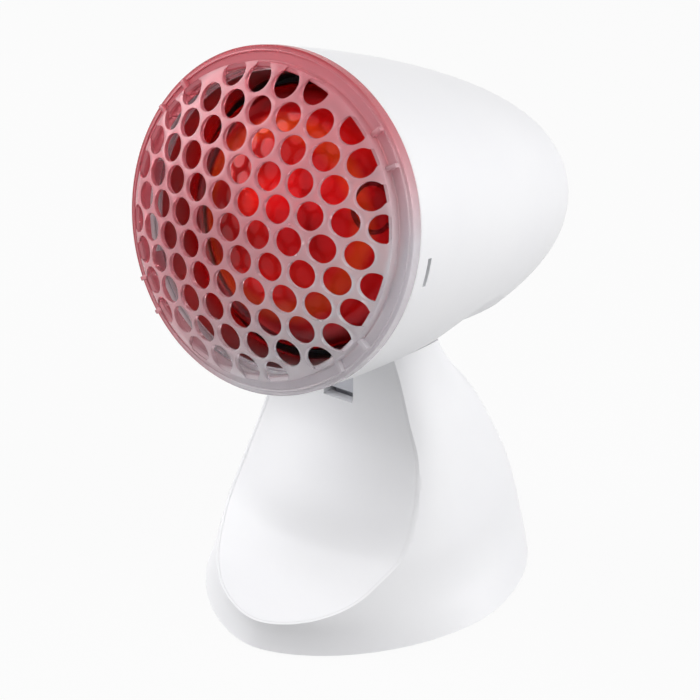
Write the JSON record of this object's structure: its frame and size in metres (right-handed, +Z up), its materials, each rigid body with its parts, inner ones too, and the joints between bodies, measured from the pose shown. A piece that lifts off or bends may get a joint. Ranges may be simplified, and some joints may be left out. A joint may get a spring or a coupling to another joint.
{
  "type": "infrared heat therapy lamp",
  "caption": "Table-top infrared heat lamp: bullet-shaped head with a domed perforated safety grille over a red reflector bulb, tilting on a drop-shaped stand.",
  "frame": {"origin": "on the resting plane, under the middle of the stand's footprint", "axes": "+Z up, the lamp faces -Y, +X to the right of a viewer who faces the grille"},
  "size_m": [0.1238, 0.1994, 0.2248],
  "materials": {
    "housing_white": "gloss white moulding",
    "cover_white": "gloss white moulding",
    "plate_grey": "matt light grey",
    "foot_rubber": "matt dark grey",
    "screw_steel": "zinc plated",
    "ballast_iron": "painted casting",
    "gland_rubber": "matt",
    "block_plastic": "matt natural",
    "bracket_steel": "zinc plated sheet",
    "spring_steel": "bright strip",
    "arm_white": "gloss white moulding",
    "shield_aluminium": "satin spun sheet",
    "holder_ceramic": "cream glaze",
    "contact_brass": "plated",
    "grille_clear": "clear moulding",
    "bulb_ruby": "ruby glass",
    "stem_glass": "clear glass",
    "filament_tungsten": "dull wire",
    "cap_nickel": "nickel plated",
    "insulator_glass": "black vitrite"
  },
  "bodies": {
    "stand": {"base_shell": "housing_white", "front_cover": "cover_white", "base_plate": "plate_grey", "rubber_feet": "foot_rubber", "base_screws": "screw_steel", "ballast_plate": "ballast_iron", "cord_gland": "gland_rubber", "terminal_block": "block_plastic", "pivot_bracket": "bracket_steel", "bracket_screws": "screw_steel", "hinge_pin": "screw_steel", "pin_clip": "spring_steel", "friction_washers": "spring_steel", "click_spring": "spring_steel"},
    "head": {"head_housing": "housing_white", "tilt_arm": "arm_white", "arm_screws": "screw_steel", "heat_shield": "shield_aluminium", "holder_bracket": "bracket_steel", "holder_bracket_screws": "screw_steel", "lamp_holder": "holder_ceramic", "holder_screws": "screw_steel", "screw_shell": "contact_brass", "centre_contact": "contact_brass"},
    "grille": {"safety_grille": "grille_clear"},
    "bulb": {"bulb_glass": "bulb_ruby", "bulb_stem": "stem_glass", "bulb_filament": "filament_tungsten", "bulb_cap": "cap_nickel", "bulb_insulator": "insulator_glass", "bulb_contact": "cap_nickel"}
  },
  "joints": [
    {"name": "head_tilt", "type": "hinge", "parent": "stand", "child": "head", "pos_m": [0, 0.005, 0.084], "axis": [-1, 0, 0], "range_deg": [0, 20]},
    {"name": "grille_removal", "type": "slide", "parent": "head", "child": "grille", "axis": [0, -0.9703, 0.2419], "range_m": [0, 0.02]},
    {"name": "bulb_unscrew", "type": "hinge", "parent": "head", "child": "bulb", "pos_m": [0, -0.0585, 0.1666], "axis": [0, -0.9703, 0.2419], "range_deg": [0, 90]}
  ]
}
